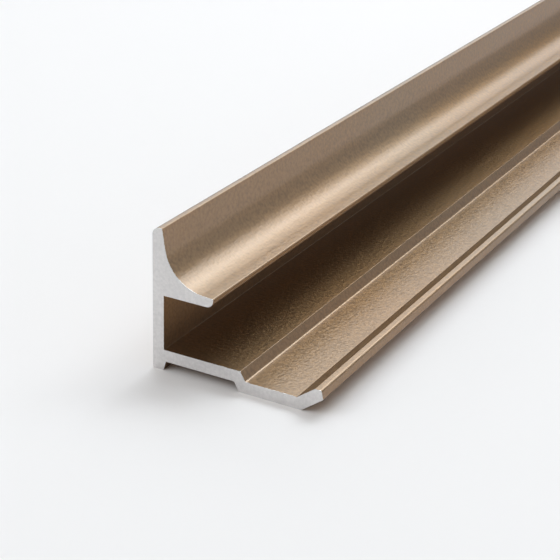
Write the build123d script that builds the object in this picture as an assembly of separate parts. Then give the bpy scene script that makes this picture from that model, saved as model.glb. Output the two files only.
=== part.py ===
from build123d import *
import os
from math import radians, sin, tan

# An aluminium trim profile: one extruded bar with a cove on top, a slot for a panel, a stepped
# floor and a turned-up edge. Sizes are in millimetres and angles in degrees. The section is
# drawn with its back face at x = 0 and its resting plane at z = 0, and the bar runs along Y.

# The bar
length = 1000.0
overall_width = 22.76

# The upright, whose flat back lies against the wall and whose front tapers into the cove
overall_height = 18.1
upright_thickness = 1.5
upright_tip_setback = 0.2
upright_taper = 9.5

# The arm, whose sloping top runs out of the cove
arm_reach = 8.2
arm_tip_thickness = 1.15
arm_slope = 3.7
cove_radius = 5.55

# The slot between the arm and the floor
slot_height = 7.05

# The floor, held above the resting plane by the foot, which leaves a recess for tape
recess_depth = 1.2
floor_thickness = 1.5
floor_reach = 11.95
foot_width = 1.45
foot_draft = 15.5

# The step from the floor down to the lip
step_angle = 60.0
step_thickness = 1.45

# The lip and its turned-up edge, which ends in a flat land and a leaning end face
lip_thickness = 1.5
edge_angle = 37.0
edge_thickness = 1.55
edge_rise = 2.08
edge_end_height = 1.1
edge_end_lean = 13.0

# Roundings
back_top_radius = 0.9
nose_radius = 0.9
step_root_radius = 0.4
edge_land_radius = 0.35
corner_radius = 0.2
root_radius = 0.15
largest_wall_share = 0.8

# Levels that several stretches share
floor_top = recess_depth + floor_thickness
arm_underside = floor_top + slot_height
arm_top = arm_underside + arm_tip_thickness
edge_top = edge_rise + edge_end_height

# Each function below returns the sharp corners of one stretch as (x, z, rounding radius), in
# the order that the section's outline passes them, starting at the top of the back face.


def rounding(radius, wall):
    """A rounding no larger than its wall has room for."""
    return min(radius, largest_wall_share * wall)


def run_of_slope(rise, angle):
    """How far a face that slopes at angle moves sideways over a rise."""
    return rise / tan(radians(angle))


def upright_corners():
    """The top of the upright, well rounded at the back."""
    tip = upright_thickness - upright_tip_setback
    return [
        (0.0, overall_height, rounding(back_top_radius, tip)),
        (tip, overall_height, corner_radius),
    ]


def cove_corners():
    """Where the upright's tapered front would meet the arm's sloping top, rounded to the cove."""
    tip = upright_thickness - upright_tip_setback
    taper = tan(radians(upright_taper))
    slope = tan(radians(arm_slope))
    drop = (overall_height - arm_top - slope * (arm_reach - tip)) / (1 - slope * taper)
    return [(tip + taper * drop, overall_height - drop, cove_radius)]


def arm_corners():
    """The arm's nose, well rounded below, and the top corner of the slot behind it."""
    return [
        (arm_reach, arm_top, corner_radius),
        (arm_reach, arm_underside, rounding(nose_radius, arm_tip_thickness)),
        (upright_thickness, arm_underside, root_radius),
    ]


def floor_corners():
    """The slot's floor and the step that leads down to the lip."""
    step_foot = floor_reach + run_of_slope(floor_top - lip_thickness, step_angle)
    return [
        (upright_thickness, floor_top, root_radius),
        (floor_reach, floor_top, corner_radius),
        (step_foot, lip_thickness, step_root_radius),
    ]


def edge_corners():
    """The turned-up edge: up its inner face, over its land, down its end and back under it."""
    bend = overall_width - run_of_slope(edge_rise, edge_angle)
    inner_bend = bend - edge_thickness / sin(radians(edge_angle))
    end_shift = edge_end_height * tan(radians(edge_end_lean))
    return [
        (inner_bend + run_of_slope(lip_thickness, edge_angle), lip_thickness, root_radius),
        (inner_bend + run_of_slope(edge_top, edge_angle), edge_top, corner_radius),
        (overall_width - end_shift, edge_top, rounding(edge_land_radius, edge_end_height)),
        (overall_width, edge_rise, corner_radius),
        (bend, 0.0, corner_radius),
    ]


def underside_corners():
    """Back under the step, along the recess, and round the foot to the back face."""
    floor_end = floor_reach + run_of_slope(floor_top, step_angle)
    step_back = floor_end - step_thickness / sin(radians(step_angle))
    foot_root = foot_width + recess_depth * tan(radians(foot_draft))
    return [
        (step_back, 0.0, corner_radius),
        (step_back - run_of_slope(recess_depth, step_angle), recess_depth, root_radius),
        (foot_root, recess_depth, root_radius),
        (foot_width, 0.0, corner_radius),
        (0.0, 0.0, corner_radius),
    ]


def profile_section():
    """The closed section in the XZ plane, moved so that its box is centred on x = 0."""
    corners = (
        upright_corners()
        + cove_corners()
        + arm_corners()
        + floor_corners()
        + edge_corners()
        + underside_corners()
    )
    with BuildSketch(Plane.XZ) as section:
        with BuildLine():
            FilletPolyline(
                [(x, z) for x, z, radius in corners],
                radius=[radius for x, z, radius in corners],
                close=True,
            )
        make_face()
    middle = section.sketch.bounding_box().center().X
    return section.sketch.moved(Location((-middle, 0, 0)))


def profile_bar():
    """The section pushed out to both sides of the origin, with square-sawn ends."""
    return extrude(profile_section(), amount=length / 2, both=True)


os.makedirs("parts", exist_ok=True)
export_step(profile_bar(), "parts/profile_bar.step")
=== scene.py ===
from math import cos, pi, radians, sin, tan

import bpy
from mathutils import Matrix, Vector


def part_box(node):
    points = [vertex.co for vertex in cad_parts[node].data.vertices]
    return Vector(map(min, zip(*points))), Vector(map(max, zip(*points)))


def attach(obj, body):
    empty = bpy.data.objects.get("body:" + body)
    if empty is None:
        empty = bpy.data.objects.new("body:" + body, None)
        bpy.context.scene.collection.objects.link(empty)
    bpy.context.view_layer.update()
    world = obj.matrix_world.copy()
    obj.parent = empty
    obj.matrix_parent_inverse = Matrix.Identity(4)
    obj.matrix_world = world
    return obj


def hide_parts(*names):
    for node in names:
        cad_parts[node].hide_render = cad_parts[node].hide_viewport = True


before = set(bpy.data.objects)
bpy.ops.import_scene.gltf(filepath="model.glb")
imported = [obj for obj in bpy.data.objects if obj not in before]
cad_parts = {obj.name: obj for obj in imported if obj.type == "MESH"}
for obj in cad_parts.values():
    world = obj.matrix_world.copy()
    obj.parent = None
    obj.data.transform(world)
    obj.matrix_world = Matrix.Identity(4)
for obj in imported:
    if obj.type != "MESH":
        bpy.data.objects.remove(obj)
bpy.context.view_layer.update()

# An anodised aluminium trim bar, lying on its foot and lip. Sizes of the bar are in millimetres
# and degrees, as its maker would give them, and everything built in Blender is in metres.
mm = 0.001
scene = bpy.context.scene


def socketOf(node, name):
    # A node's input by its name, among those that its settings leave in use
    return next(s for s in node.inputs if s.name == name and s.enabled)


def link(tree, fromSocket, toNode, toName):
    tree.links.new(fromSocket, socketOf(toNode, toName))


def worked(tree, kind, operation, *values):
    # The result of a maths node, whose values are numbers or the sockets that feed it
    node = tree.nodes.new(kind)
    node.operation = operation
    for socket, value in zip(node.inputs, values):
        if isinstance(value, bpy.types.NodeSocket):
            tree.links.new(value, socket)
        else:
            socket.default_value = value
    return node.outputs[0]


# The bar: the sizes of its section, and how finely it is drawn. The outer corners that get rubbed
# are those with a rounding below rubbedRadius, whose faces turn by rubbedTurn from one to the next,
# and the faces that look along the bar by more than endFacing are its sawn ends.
barSizes = {
    "length": 1000.0,
    "overallWidth": 22.76,
    "overallHeight": 18.1,
    "uprightThickness": 1.5,
    "uprightTipSetback": 0.2,
    "uprightTaper": 9.5,
    "armReach": 8.2,
    "armTipThickness": 1.15,
    "armSlope": 3.7,
    "coveRadius": 5.55,
    "slotHeight": 7.05,
    "recessDepth": 1.2,
    "floorThickness": 1.5,
    "floorReach": 11.95,
    "footWidth": 1.45,
    "footDraft": 15.5,
    "stepAngle": 60.0,
    "stepThickness": 1.45,
    "lipThickness": 1.5,
    "edgeAngle": 37.0,
    "edgeThickness": 1.55,
    "edgeRise": 2.08,
    "edgeEndHeight": 1.1,
    "edgeEndLean": 13.0,
    "backTopRadius": 0.9,
    "noseRadius": 0.9,
    "stepTopRadius": 0.06,
    "stepRootRadius": 0.34,
    "edgeLandRadius": 0.35,
    "cornerRadius": 0.15,
    "rootRadius": 0.04,
    "stepsAlongBar": 60,
    "coveSteps": 40,
    "smallSteps": 8,
    "sharpEdgeAngle": 30.0,
    "rubbedRadius": 0.3,
    "rubbedTurn": (6.3, 45.8),
    "endFacing": 0.9,
}


def sectionCorners(s):
    # Sharp corners of the section as (x, z, rounding radius), from the top of the back face
    corner, root = s["cornerRadius"], s["rootRadius"]
    floorTop = s["recessDepth"] + s["floorThickness"]
    armUnder = floorTop + s["slotHeight"]
    armTop = armUnder + s["armTipThickness"]
    tip = s["uprightThickness"] - s["uprightTipSetback"]
    taper, slope = tan(radians(s["uprightTaper"])), tan(radians(s["armSlope"]))
    drop = (s["overallHeight"] - armTop - slope * (s["armReach"] - tip)) / (1 - slope * taper)
    stepRun = 1 / tan(radians(s["stepAngle"]))
    stepFoot = s["floorReach"] + (floorTop - s["lipThickness"]) * stepRun
    stepBack = s["floorReach"] + floorTop * stepRun - s["stepThickness"] / sin(radians(s["stepAngle"]))
    edgeRun = 1 / tan(radians(s["edgeAngle"]))
    edgeTop = s["edgeRise"] + s["edgeEndHeight"]
    bend = s["overallWidth"] - s["edgeRise"] * edgeRun
    innerBend = bend - s["edgeThickness"] / sin(radians(s["edgeAngle"]))
    endShift = s["edgeEndHeight"] * tan(radians(s["edgeEndLean"]))
    footRoot = s["footWidth"] + s["recessDepth"] * tan(radians(s["footDraft"]))
    return [
        (0, s["overallHeight"], s["backTopRadius"]),
        (tip, s["overallHeight"], corner),
        (tip + taper * drop, s["overallHeight"] - drop, s["coveRadius"]),
        (s["armReach"], armTop, corner),
        (s["armReach"], armUnder, s["noseRadius"]),
        (s["uprightThickness"], armUnder, root),
        (s["uprightThickness"], floorTop, root),
        (s["floorReach"], floorTop, s["stepTopRadius"]),
        (stepFoot, s["lipThickness"], s["stepRootRadius"]),
        (innerBend + s["lipThickness"] * edgeRun, s["lipThickness"], root),
        (innerBend + edgeTop * edgeRun, edgeTop, corner),
        (s["overallWidth"] - endShift, edgeTop, s["edgeLandRadius"]),
        (s["overallWidth"], s["edgeRise"], corner),
        (bend, 0, corner),
        (stepBack, 0, corner),
        (stepBack - s["recessDepth"] * stepRun, s["recessDepth"], root),
        (footRoot, s["recessDepth"], root),
        (s["footWidth"], 0, corner),
        (0, 0, corner),
    ]


def cornerLoop(s, middle):
    # The sharp section as a closed loop of edges in the XY plane, with a rounding for each corner
    corners = sectionCorners(s)
    mesh = bpy.data.meshes.new("sectionCorners")
    mesh.from_pydata(
        [(x * mm - middle, z * mm, 0) for x, z, r in corners],
        [(i, (i + 1) % len(corners)) for i in range(len(corners))],
        [],
    )
    rounding = mesh.attributes.new("rounding", "FLOAT", "POINT")
    steps = mesh.attributes.new("roundingSteps", "INT", "POINT")
    rounding.data.foreach_set("value", [r * mm for x, z, r in corners])
    fine, coarse = s["coveSteps"], s["smallSteps"]
    steps.data.foreach_set("value", [fine if r == s["coveRadius"] else coarse for x, z, r in corners])
    loop = bpy.data.objects.new("profileBar", mesh)
    scene.collection.objects.link(loop)
    return loop


def extrusionTree(s):
    # Rounds the corners of the section, draws it out along the bar and closes the sawn ends
    tree = bpy.data.node_groups.new("extrusion", "GeometryNodeTree")
    sockets = {}
    for name, kind in (
        ("Section", "NodeSocketGeometry"),
        ("Length", "NodeSocketFloat"),
        ("Steps Along Bar", "NodeSocketInt"),
        ("Sharp Edge Angle", "NodeSocketFloat"),
        ("Skin", "NodeSocketMaterial"),
        ("Sawn End", "NodeSocketMaterial"),
    ):
        sockets[name] = tree.interface.new_socket(name, in_out="INPUT", socket_type=kind)
    tree.interface.new_socket("Bar", in_out="OUTPUT", socket_type="NodeSocketGeometry")

    def add(kind, **settings):
        node = tree.nodes.new(kind)
        for key, value in settings.items():
            setattr(node, key, value)
        return node

    given = add("NodeGroupInput")
    toCurve = add("GeometryNodeMeshToCurve")
    radius = add("GeometryNodeInputNamedAttribute", data_type="FLOAT")
    socketOf(radius, "Name").default_value = "rounding"
    count = add("GeometryNodeInputNamedAttribute", data_type="INT")
    socketOf(count, "Name").default_value = "roundingSteps"
    fillet = add("GeometryNodeFilletCurve", mode="POLY")
    link(tree, given.outputs["Section"], toCurve, "Mesh")
    link(tree, toCurve.outputs["Curve"], fillet, "Curve")
    link(tree, radius.outputs["Attribute"], fillet, "Radius")
    link(tree, count.outputs["Attribute"], fillet, "Count")

    start, end = add("ShaderNodeCombineXYZ"), add("ShaderNodeCombineXYZ")
    link(tree, worked(tree, "ShaderNodeMath", "MULTIPLY", given.outputs["Length"], -0.5), start, "Z")
    link(tree, worked(tree, "ShaderNodeMath", "MULTIPLY", given.outputs["Length"], 0.5), end, "Z")
    rail = add("GeometryNodeCurvePrimitiveLine")
    link(tree, start.outputs[0], rail, "Start")
    link(tree, end.outputs[0], rail, "End")
    spaced = add("GeometryNodeResampleCurve", mode="COUNT")
    link(tree, rail.outputs["Curve"], spaced, "Curve")
    link(tree, given.outputs["Steps Along Bar"], spaced, "Count")

    sweep = add("GeometryNodeCurveToMesh")
    socketOf(sweep, "Fill Caps").default_value = True
    link(tree, spaced.outputs["Curve"], sweep, "Curve")
    link(tree, fillet.outputs["Curve"], sweep, "Profile Curve")
    lay = add("GeometryNodeTransform")
    socketOf(lay, "Rotation").default_value = (pi / 2, 0, 0)
    link(tree, sweep.outputs["Mesh"], lay, "Geometry")

    # Marks the tight outer corners, where handling rubs the finish
    angle = add("GeometryNodeInputMeshEdgeAngle")
    turn = angle.outputs["Signed Angle"]
    least, most = (radians(degrees) for degrees in s["rubbedTurn"])
    turns = worked(tree, "FunctionNodeCompare", "GREATER_THAN", turn, least)
    within = worked(tree, "FunctionNodeCompare", "LESS_THAN", turn, most)
    rounded = worked(tree, "FunctionNodeBooleanMath", "AND", turns, within)
    tightRadius = s["rubbedRadius"] * mm
    tight = worked(tree, "FunctionNodeCompare", "LESS_THAN", radius.outputs["Attribute"], tightRadius)
    corner = worked(tree, "FunctionNodeBooleanMath", "AND", rounded, tight)
    onEdges = add("GeometryNodeFieldOnDomain", data_type="FLOAT", domain="EDGE")
    tree.links.new(corner, onEdges.inputs[0])
    rubbed = add("GeometryNodeStoreNamedAttribute", data_type="FLOAT", domain="POINT")
    socketOf(rubbed, "Name").default_value = "rubbed"
    link(tree, lay.outputs["Geometry"], rubbed, "Geometry")
    link(tree, onEdges.outputs[0], rubbed, "Value")

    bend, limit = angle.outputs["Unsigned Angle"], given.outputs["Sharp Edge Angle"]
    isSharp = worked(tree, "FunctionNodeCompare", "GREATER_THAN", bend, limit)
    smoothFaces = add("GeometryNodeSetShadeSmooth", domain="FACE")
    sharpEdges = add("GeometryNodeSetShadeSmooth", domain="EDGE")
    socketOf(sharpEdges, "Shade Smooth").default_value = False
    link(tree, rubbed.outputs["Geometry"], smoothFaces, "Geometry")
    link(tree, smoothFaces.outputs["Geometry"], sharpEdges, "Geometry")
    link(tree, isSharp, sharpEdges, "Selection")

    normal = add("GeometryNodeInputNormal")
    parts = add("ShaderNodeSeparateXYZ")
    tree.links.new(normal.outputs["Normal"], parts.inputs[0])
    along = worked(tree, "ShaderNodeMath", "ABSOLUTE", parts.outputs["Y"])
    isEnd = worked(tree, "FunctionNodeCompare", "GREATER_THAN", along, s["endFacing"])
    realize = add("GeometryNodeRealizeInstances")
    skin, ends = add("GeometryNodeSetMaterial"), add("GeometryNodeSetMaterial")
    result = add("NodeGroupOutput")
    link(tree, sharpEdges.outputs["Geometry"], realize, "Geometry")
    link(tree, realize.outputs["Geometry"], skin, "Geometry")
    link(tree, given.outputs["Skin"], skin, "Material")
    link(tree, skin.outputs["Geometry"], ends, "Geometry")
    link(tree, isEnd, ends, "Selection")
    link(tree, given.outputs["Sawn End"], ends, "Material")
    tree.links.new(ends.outputs["Geometry"], result.inputs[0])
    return tree, sockets


def makeBar(skin, sawn):
    low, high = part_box("profile_bar")
    loop = cornerLoop(barSizes, -low.x)
    tree, sockets = extrusionTree(barSizes)
    extrude = loop.modifiers.new("extrusion", "NODES")
    extrude.node_group = tree
    for name, value in (
        ("Length", barSizes["length"] * mm),
        ("Steps Along Bar", barSizes["stepsAlongBar"] + 1),
        ("Sharp Edge Angle", radians(barSizes["sharpEdgeAngle"])),
        ("Skin", skin),
        ("Sawn End", sawn),
    ):
        extrude[sockets[name].identifier] = value
    graph = bpy.context.evaluated_depsgraph_get()
    drawn = bpy.data.meshes.new_from_object(loop.evaluated_get(graph))
    drawn.name = "profileBar"
    loop.modifiers.remove(extrude)
    loop.data = drawn
    evenNormals = loop.modifiers.new("evenNormals", "WEIGHTED_NORMAL")
    evenNormals.keep_sharp = True
    return loop


# Finishes: sizes of their detail are in millimetres, and colours are linear. Contrast and swing
# are the whole way from the darkest to the lightest, or from the smoothest to the roughest.
skinFinish = {
    "colour": (0.306, 0.190, 0.094),
    "warmColour": (0.328, 0.187, 0.081),
    "slantColour": (0.35, 0.28, 0.23),
    "roughness": 0.45,
    "clearWeight": 1.0,
    "clearIOR": 1.58,
    "clearRoughness": 0.25,
    "grainSize": 0.4,
    "grainDepth": 0.034,
    "speckleSize": 0.45,
    "speckleContrast": 0.42,
    "roughnessSwing": 0.16,
    "cloudSize": 35.0,
    "dieLineWidth": 0.3,
    "dieLineLength": 90.0,
    "dieLineDepth": 0.004,
    "bareColour": (0.60, 0.56, 0.50),
    "cornerWear": 0.7,
    "wearPatch": (1.5, 12.0, 1.5),
    "chipWidth": 0.12,
    "chipLength": 0.36,
}
sawnFinish = {
    "colour": (0.775, 0.75, 0.735),
    "roughness": 0.62,
    "speckleSize": 0.35,
    "speckleContrast": 0.10,
    "roughnessSwing": 0.08,
    "sawLineWidth": 0.16,
    "sawLineLength": 6.0,
    "sawLineLean": 24.0,
    "sawLineDepth": 0.006,
}
noiseSpan = (0.3, 0.7)  # most of a noise lies between these
noiseDetail = 2.0


def newMaterial(name):
    material = bpy.data.materials.new(name)
    material.use_nodes = True
    nodes = material.node_tree.nodes
    nodes.clear()
    output = nodes.new("ShaderNodeOutputMaterial")
    shader = nodes.new("ShaderNodeBsdfPrincipled")
    material.node_tree.links.new(shader.outputs[0], output.inputs["Surface"])
    return material, shader


def noise(material, size, lean=0.0):
    # Noise in the bar's own space, with a blob size in millimetres along each axis
    tree = material.node_tree
    place = tree.nodes.new("ShaderNodeTexCoord")
    mapping = tree.nodes.new("ShaderNodeMapping")
    mapping.inputs["Rotation"].default_value = (0, radians(lean), 0)
    mapping.inputs["Scale"].default_value = [1 / (axis * mm) for axis in size]
    blobs = tree.nodes.new("ShaderNodeTexNoise")
    blobs.inputs["Scale"].default_value = 1
    blobs.inputs["Detail"].default_value = noiseDetail
    tree.links.new(place.outputs["Object"], mapping.inputs["Vector"])
    tree.links.new(mapping.outputs["Vector"], blobs.inputs["Vector"])
    return blobs.outputs["Fac"]


def ranged(material, value, low, high):
    # Spreads most of a noise over a range
    spread = material.node_tree.nodes.new("ShaderNodeMapRange")
    for name, limit in zip(("From Min", "From Max", "To Min", "To Max"), (*noiseSpan, low, high)):
        spread.inputs[name].default_value = limit
    material.node_tree.links.new(value, spread.inputs["Value"])
    return spread.outputs["Result"]


def around(material, value, middle, swing):
    # Goes from below the middle to above it, by half the swing each way
    return ranged(material, value, middle - swing / 2, middle + swing / 2)


def blended(material, amount, first, second):
    # Goes from the first colour to the second as the amount goes from 0 to 1
    mix = material.node_tree.nodes.new("ShaderNodeMix")
    mix.data_type = "RGBA"
    material.node_tree.links.new(amount, socketOf(mix, "Factor"))
    for name, colour in (("A", first), ("B", second)):
        if isinstance(colour, tuple):
            socketOf(mix, name).default_value = (*colour, 1)
        else:
            material.node_tree.links.new(colour, socketOf(mix, name))
    return next(s for s in mix.outputs if s.enabled)


def scaled(colour, factor):
    return tuple(part * factor for part in colour)


def speckled(material, speckle, colour, contrast):
    dark, light = scaled(colour, 1 - contrast / 2), scaled(colour, 1 + contrast / 2)
    return blended(material, ranged(material, speckle, 0, 1), dark, light)


def bumped(material, height, depth, under=None):
    bump = material.node_tree.nodes.new("ShaderNodeBump")
    bump.inputs["Distance"].default_value = depth * mm
    material.node_tree.links.new(height, bump.inputs["Height"])
    if under:
        material.node_tree.links.new(under, bump.inputs["Normal"])
    return bump.outputs["Normal"]


def wornShare(material, s, halfLength):
    # How bare the metal is: chipped beside the saw cuts, and rubbed here and there on the corners
    tree = material.node_tree
    place = tree.nodes.new("ShaderNodeTexCoord")
    parts = tree.nodes.new("ShaderNodeSeparateXYZ")
    tree.links.new(place.outputs["Object"], parts.inputs[0])
    fromMiddle = worked(tree, "ShaderNodeMath", "ABSOLUTE", parts.outputs["Y"])
    chips = ranged(material, noise(material, [s["chipLength"]] * 3), 0, s["chipWidth"] * mm)
    reach = worked(tree, "ShaderNodeMath", "ADD", fromMiddle, chips)
    chipped = worked(tree, "ShaderNodeMath", "GREATER_THAN", reach, halfLength)
    rubbed = tree.nodes.new("ShaderNodeAttribute")
    rubbed.attribute_name = "rubbed"
    patches = ranged(material, noise(material, s["wearPatch"]), 0, s["cornerWear"])
    worn = worked(tree, "ShaderNodeMath", "MULTIPLY_ADD", rubbed.outputs["Fac"], patches, chipped)
    worn.node.use_clamp = True
    return worn


def anodisedSkin(s, halfLength):
    material, shader = newMaterial("anodisedSkin")
    links = material.node_tree.links
    grain = noise(material, [s["grainSize"]] * 3)
    speckle = noise(material, [s["speckleSize"]] * 3)
    clouds = noise(material, [s["cloudSize"]] * 3)
    dieLines = noise(material, (s["dieLineWidth"], s["dieLineLength"], s["dieLineWidth"]))
    plain = speckled(material, speckle, s["colour"], s["speckleContrast"])
    warm = speckled(material, speckle, s["warmColour"], s["speckleContrast"])
    dyed = blended(material, ranged(material, clouds, 0, 1), plain, warm)
    colour = blended(material, wornShare(material, s, halfLength), dyed, s["bareColour"])
    normal = bumped(material, dieLines, s["dieLineDepth"])
    normal = bumped(material, grain, s["grainDepth"], normal)
    links.new(colour, shader.inputs["Base Color"])
    links.new(around(material, speckle, s["roughness"], s["roughnessSwing"]), shader.inputs["Roughness"])
    links.new(normal, shader.inputs["Normal"])
    links.new(normal, shader.inputs["Coat Normal"])
    shader.inputs["Metallic"].default_value = 1
    shader.inputs["Specular Tint"].default_value = (*s["slantColour"], 1)
    shader.inputs["Coat Weight"].default_value = s["clearWeight"]
    shader.inputs["Coat IOR"].default_value = s["clearIOR"]
    shader.inputs["Coat Roughness"].default_value = s["clearRoughness"]
    return material


def sawnAluminium(s):
    material, shader = newMaterial("sawnAluminium")
    links = material.node_tree.links
    speckle = noise(material, [s["speckleSize"]] * 3)
    sawSize = (s["sawLineWidth"], s["sawLineWidth"], s["sawLineLength"])
    sawLines = noise(material, sawSize, lean=s["sawLineLean"])
    colour = speckled(material, speckle, s["colour"], s["speckleContrast"])
    links.new(colour, shader.inputs["Base Color"])
    links.new(around(material, sawLines, s["roughness"], s["roughnessSwing"]), shader.inputs["Roughness"])
    links.new(bumped(material, sawLines, s["sawLineDepth"]), shader.inputs["Normal"])
    shader.inputs["Metallic"].default_value = 1
    return material


# The studio: a pale floor, even light from all round and five soft lamps, which all face a point at
# the bar's near end. A lamp's turn and height are the degrees that it spans as seen from there, its
# distance is in metres, its spread is how wide its light goes, in degrees, and its power is in watts
# for each square metre of it. At about 3 watts it looks as bright as plain white.
studio = {
    "floorSize": 60.0,
    "floorColour": (0.975, 0.902, 0.843),  # warm, so that it looks white under the cool lamps
    "evenLight": 0.3,
    "lampAim": (0.0, -0.5, 0.0),
    "lampColour": (0.88, 1.0, 1.12),
    "leastWidth": 0.8,  # the smallest share of its width that a lamp high up is cut to
}
softLamps = {
    "wideLamp": {
        "turn": (-62, 3), "height": (10, 40),
        "distance": 4.0, "spread": 180, "power": 4.6,
    },
    "highLamp": {
        "turn": (-4, 31), "height": (33, 62),
        "distance": 0.8, "spread": 115, "power": 14.0,
    },
    "leftLamp": {
        "turn": (-45, -4), "height": (40, 66),
        "distance": 2.5, "spread": 180, "power": 9.4,
    },
    "sideLamp": {
        "turn": (18, 60), "height": (2, 28),
        "distance": 4.0, "spread": 180, "power": 0.8,
    },
    "nearLamp": {
        "turn": (185, 260), "height": (20, 60),
        "distance": 4.0, "spread": 180, "power": 4.8,
    },
}


def makeFloor(s):
    half = s["floorSize"] / 2
    mesh = bpy.data.meshes.new("floor")
    corners = [(-half, -half, 0), (half, -half, 0), (half, half, 0), (-half, half, 0)]
    mesh.from_pydata(corners, [], [(0, 1, 2, 3)])
    floor = bpy.data.objects.new("floor", mesh)
    scene.collection.objects.link(floor)
    material, shader = newMaterial("paleFloor")
    shader.inputs["Base Color"].default_value = (*s["floorColour"], 1)
    shader.inputs["Roughness"].default_value = 1
    shader.inputs["Specular IOR Level"].default_value = 0
    mesh.materials.append(material)


def makeLamp(name, lamp, s):
    # A flat soft box that fills a range of directions, seen from the bar's near end
    distance = lamp["distance"]
    turn = radians(sum(lamp["turn"]) / 2)
    height = radians(sum(lamp["height"]) / 2)
    halfTurn = radians(lamp["turn"][1] - lamp["turn"][0]) / 2
    halfHeight = radians(lamp["height"][1] - lamp["height"][0]) / 2
    data = bpy.data.lights.new(name, "AREA")
    data.shape = "RECTANGLE"
    data.size = 2 * distance * max(cos(height), s["leastWidth"]) * tan(halfTurn)
    data.size_y = 2 * distance * tan(halfHeight)
    data.spread = radians(lamp["spread"])
    narrowed = 1 - data.spread / 2 / tan(data.spread / 2)  # a narrower spread takes less to look as bright
    data.energy = data.size * data.size_y * lamp["power"] * narrowed
    data.color = s["lampColour"]
    holder = bpy.data.objects.new(name, data)
    towards = Vector((sin(turn) * cos(height), cos(turn) * cos(height), sin(height)))
    holder.location = Vector(s["lampAim"]) + distance * towards
    holder.rotation_euler = (-towards).to_track_quat("-Z", "Y").to_euler()
    holder.visible_camera = False
    scene.collection.objects.link(holder)


def makeWorld(s):
    world = bpy.data.worlds.new("studio")
    scene.world = world
    world.use_nodes = True
    back = world.node_tree.nodes["Background"]
    back.inputs["Color"].default_value = (1, 1, 1, 1)
    back.inputs["Strength"].default_value = s["evenLight"]


# The camera, set in millimetres from the back face, the near sawn end and the floor. It sees what
# is between its two clip distances, which are in metres.
cameraSetup = {
    "place": (92.78, -141.2, 88.37),
    "turn": 28.285,
    "tilt": 24.444,
    "roll": 1.692,
    "lens": 102.38,
    "sensor": 36.0,
    "clip": (0.005, 100.0),
}


def makeCamera(s):
    low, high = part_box("profile_bar")
    data = bpy.data.cameras.new("camera")
    data.lens = s["lens"]
    data.sensor_width = s["sensor"]
    data.clip_start, data.clip_end = s["clip"]
    camera = bpy.data.objects.new("camera", data)
    x, y, z = s["place"]
    turned = (
        Matrix.Rotation(radians(s["turn"]), 4, "Z")
        @ Matrix.Rotation(radians(90 - s["tilt"]), 4, "X")
        @ Matrix.Rotation(radians(s["roll"]), 4, "Z")
    )
    camera.matrix_world = Matrix.Translation((low.x + x * mm, low.y + y * mm, z * mm)) @ turned
    scene.collection.objects.link(camera)
    scene.camera = camera


makeCamera(cameraSetup)
makeFloor(studio)
makeWorld(studio)
for lampName, lampSetup in softLamps.items():
    makeLamp(lampName, lampSetup, studio)
scene.view_settings.view_transform = "Standard"
print("studio ready")

halfBar = barSizes["length"] * mm / 2
bar = makeBar(anodisedSkin(skinFinish, halfBar), sawnAluminium(sawnFinish))
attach(bar, "root")
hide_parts("profile_bar")
print("bar drawn with", len(bar.data.polygons), "faces")
